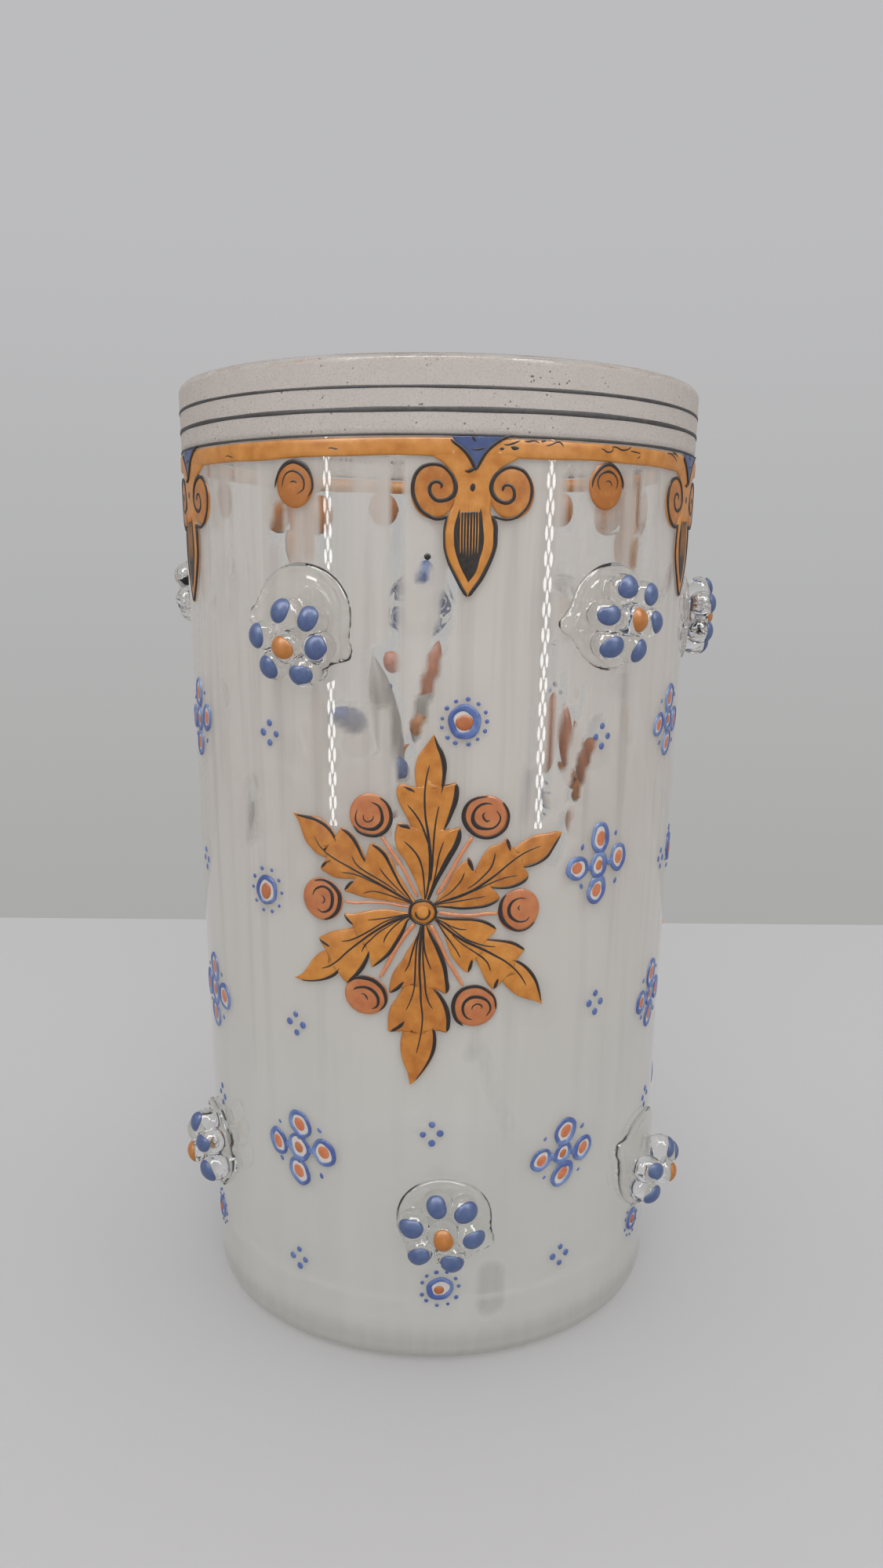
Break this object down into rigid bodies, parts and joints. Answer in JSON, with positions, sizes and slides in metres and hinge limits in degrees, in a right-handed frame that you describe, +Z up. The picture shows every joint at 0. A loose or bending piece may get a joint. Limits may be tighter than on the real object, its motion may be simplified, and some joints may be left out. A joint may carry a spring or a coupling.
{
  "type": "vase",
  "caption": "Tapered cylinder vase in clear and milk-streaked glass, with raised enamel border and rosettes and applied glass prunts.",
  "frame": {"origin": "centre of the underside, on the surface that the vase stands on", "axes": "+Z up along the vase's axis, -Y towards the side with the front rosette"},
  "size_m": [0.1253, 0.1224, 0.2],
  "materials": {
    "clear_glass": "blown clear glass with milk-white streaks, polished",
    "prunt_glass": "hot-applied clear glass, bright fire polish",
    "ochre_enamel": "fired vitreous enamel, ochre, satin gloss",
    "blue_enamel": "fired vitreous enamel, blue, gloss",
    "black_enamel": "fired brown-black enamel line, satin"
  },
  "bodies": {
    "root": {"glass_body": "clear_glass", "prunt_upper_1": "prunt_glass", "prunt_upper_2": "prunt_glass", "prunt_upper_3": "prunt_glass", "prunt_upper_4": "prunt_glass", "prunt_upper_5": "prunt_glass", "prunt_upper_6": "prunt_glass", "prunt_lower_1": "prunt_glass", "prunt_lower_2": "prunt_glass", "prunt_lower_3": "prunt_glass", "prunt_lower_4": "prunt_glass", "prunt_lower_5": "prunt_glass", "prunt_lower_6": "prunt_glass", "rim_line_upper": "black_enamel", "rim_line_lower": "black_enamel", "border_line": "black_enamel", "enamel_border": "ochre_enamel", "spandrel_1": "blue_enamel", "spandrel_2": "blue_enamel", "spandrel_3": "blue_enamel", "spandrel_4": "blue_enamel", "spandrel_5": "blue_enamel", "spandrel_6": "blue_enamel", "star_rosette_1": "ochre_enamel", "star_rosette_2": "ochre_enamel", "star_rosette_3": "ochre_enamel", "sun_disc_1": "blue_enamel", "sun_disc_2": "blue_enamel", "sun_disc_3": "blue_enamel", "sun_disc_4": "blue_enamel", "sun_disc_5": "blue_enamel", "sun_disc_6": "blue_enamel", "sun_disc_7": "blue_enamel", "sun_disc_8": "blue_enamel", "sun_disc_9": "blue_enamel", "sun_disc_10": "blue_enamel", "sun_disc_11": "blue_enamel", "sun_disc_12": "blue_enamel", "quatrefoil_1": "blue_enamel", "quatrefoil_2": "blue_enamel", "quatrefoil_3": "blue_enamel", "quatrefoil_4": "blue_enamel", "quatrefoil_5": "blue_enamel", "quatrefoil_6": "blue_enamel", "quatrefoil_7": "blue_enamel", "quatrefoil_8": "blue_enamel", "quatrefoil_9": "blue_enamel", "quatrefoil_10": "blue_enamel", "quatrefoil_11": "blue_enamel", "quatrefoil_12": "blue_enamel", "quatrefoil_13": "blue_enamel", "quatrefoil_14": "blue_enamel", "quatrefoil_15": "blue_enamel"}
  },
  "joints": []
}
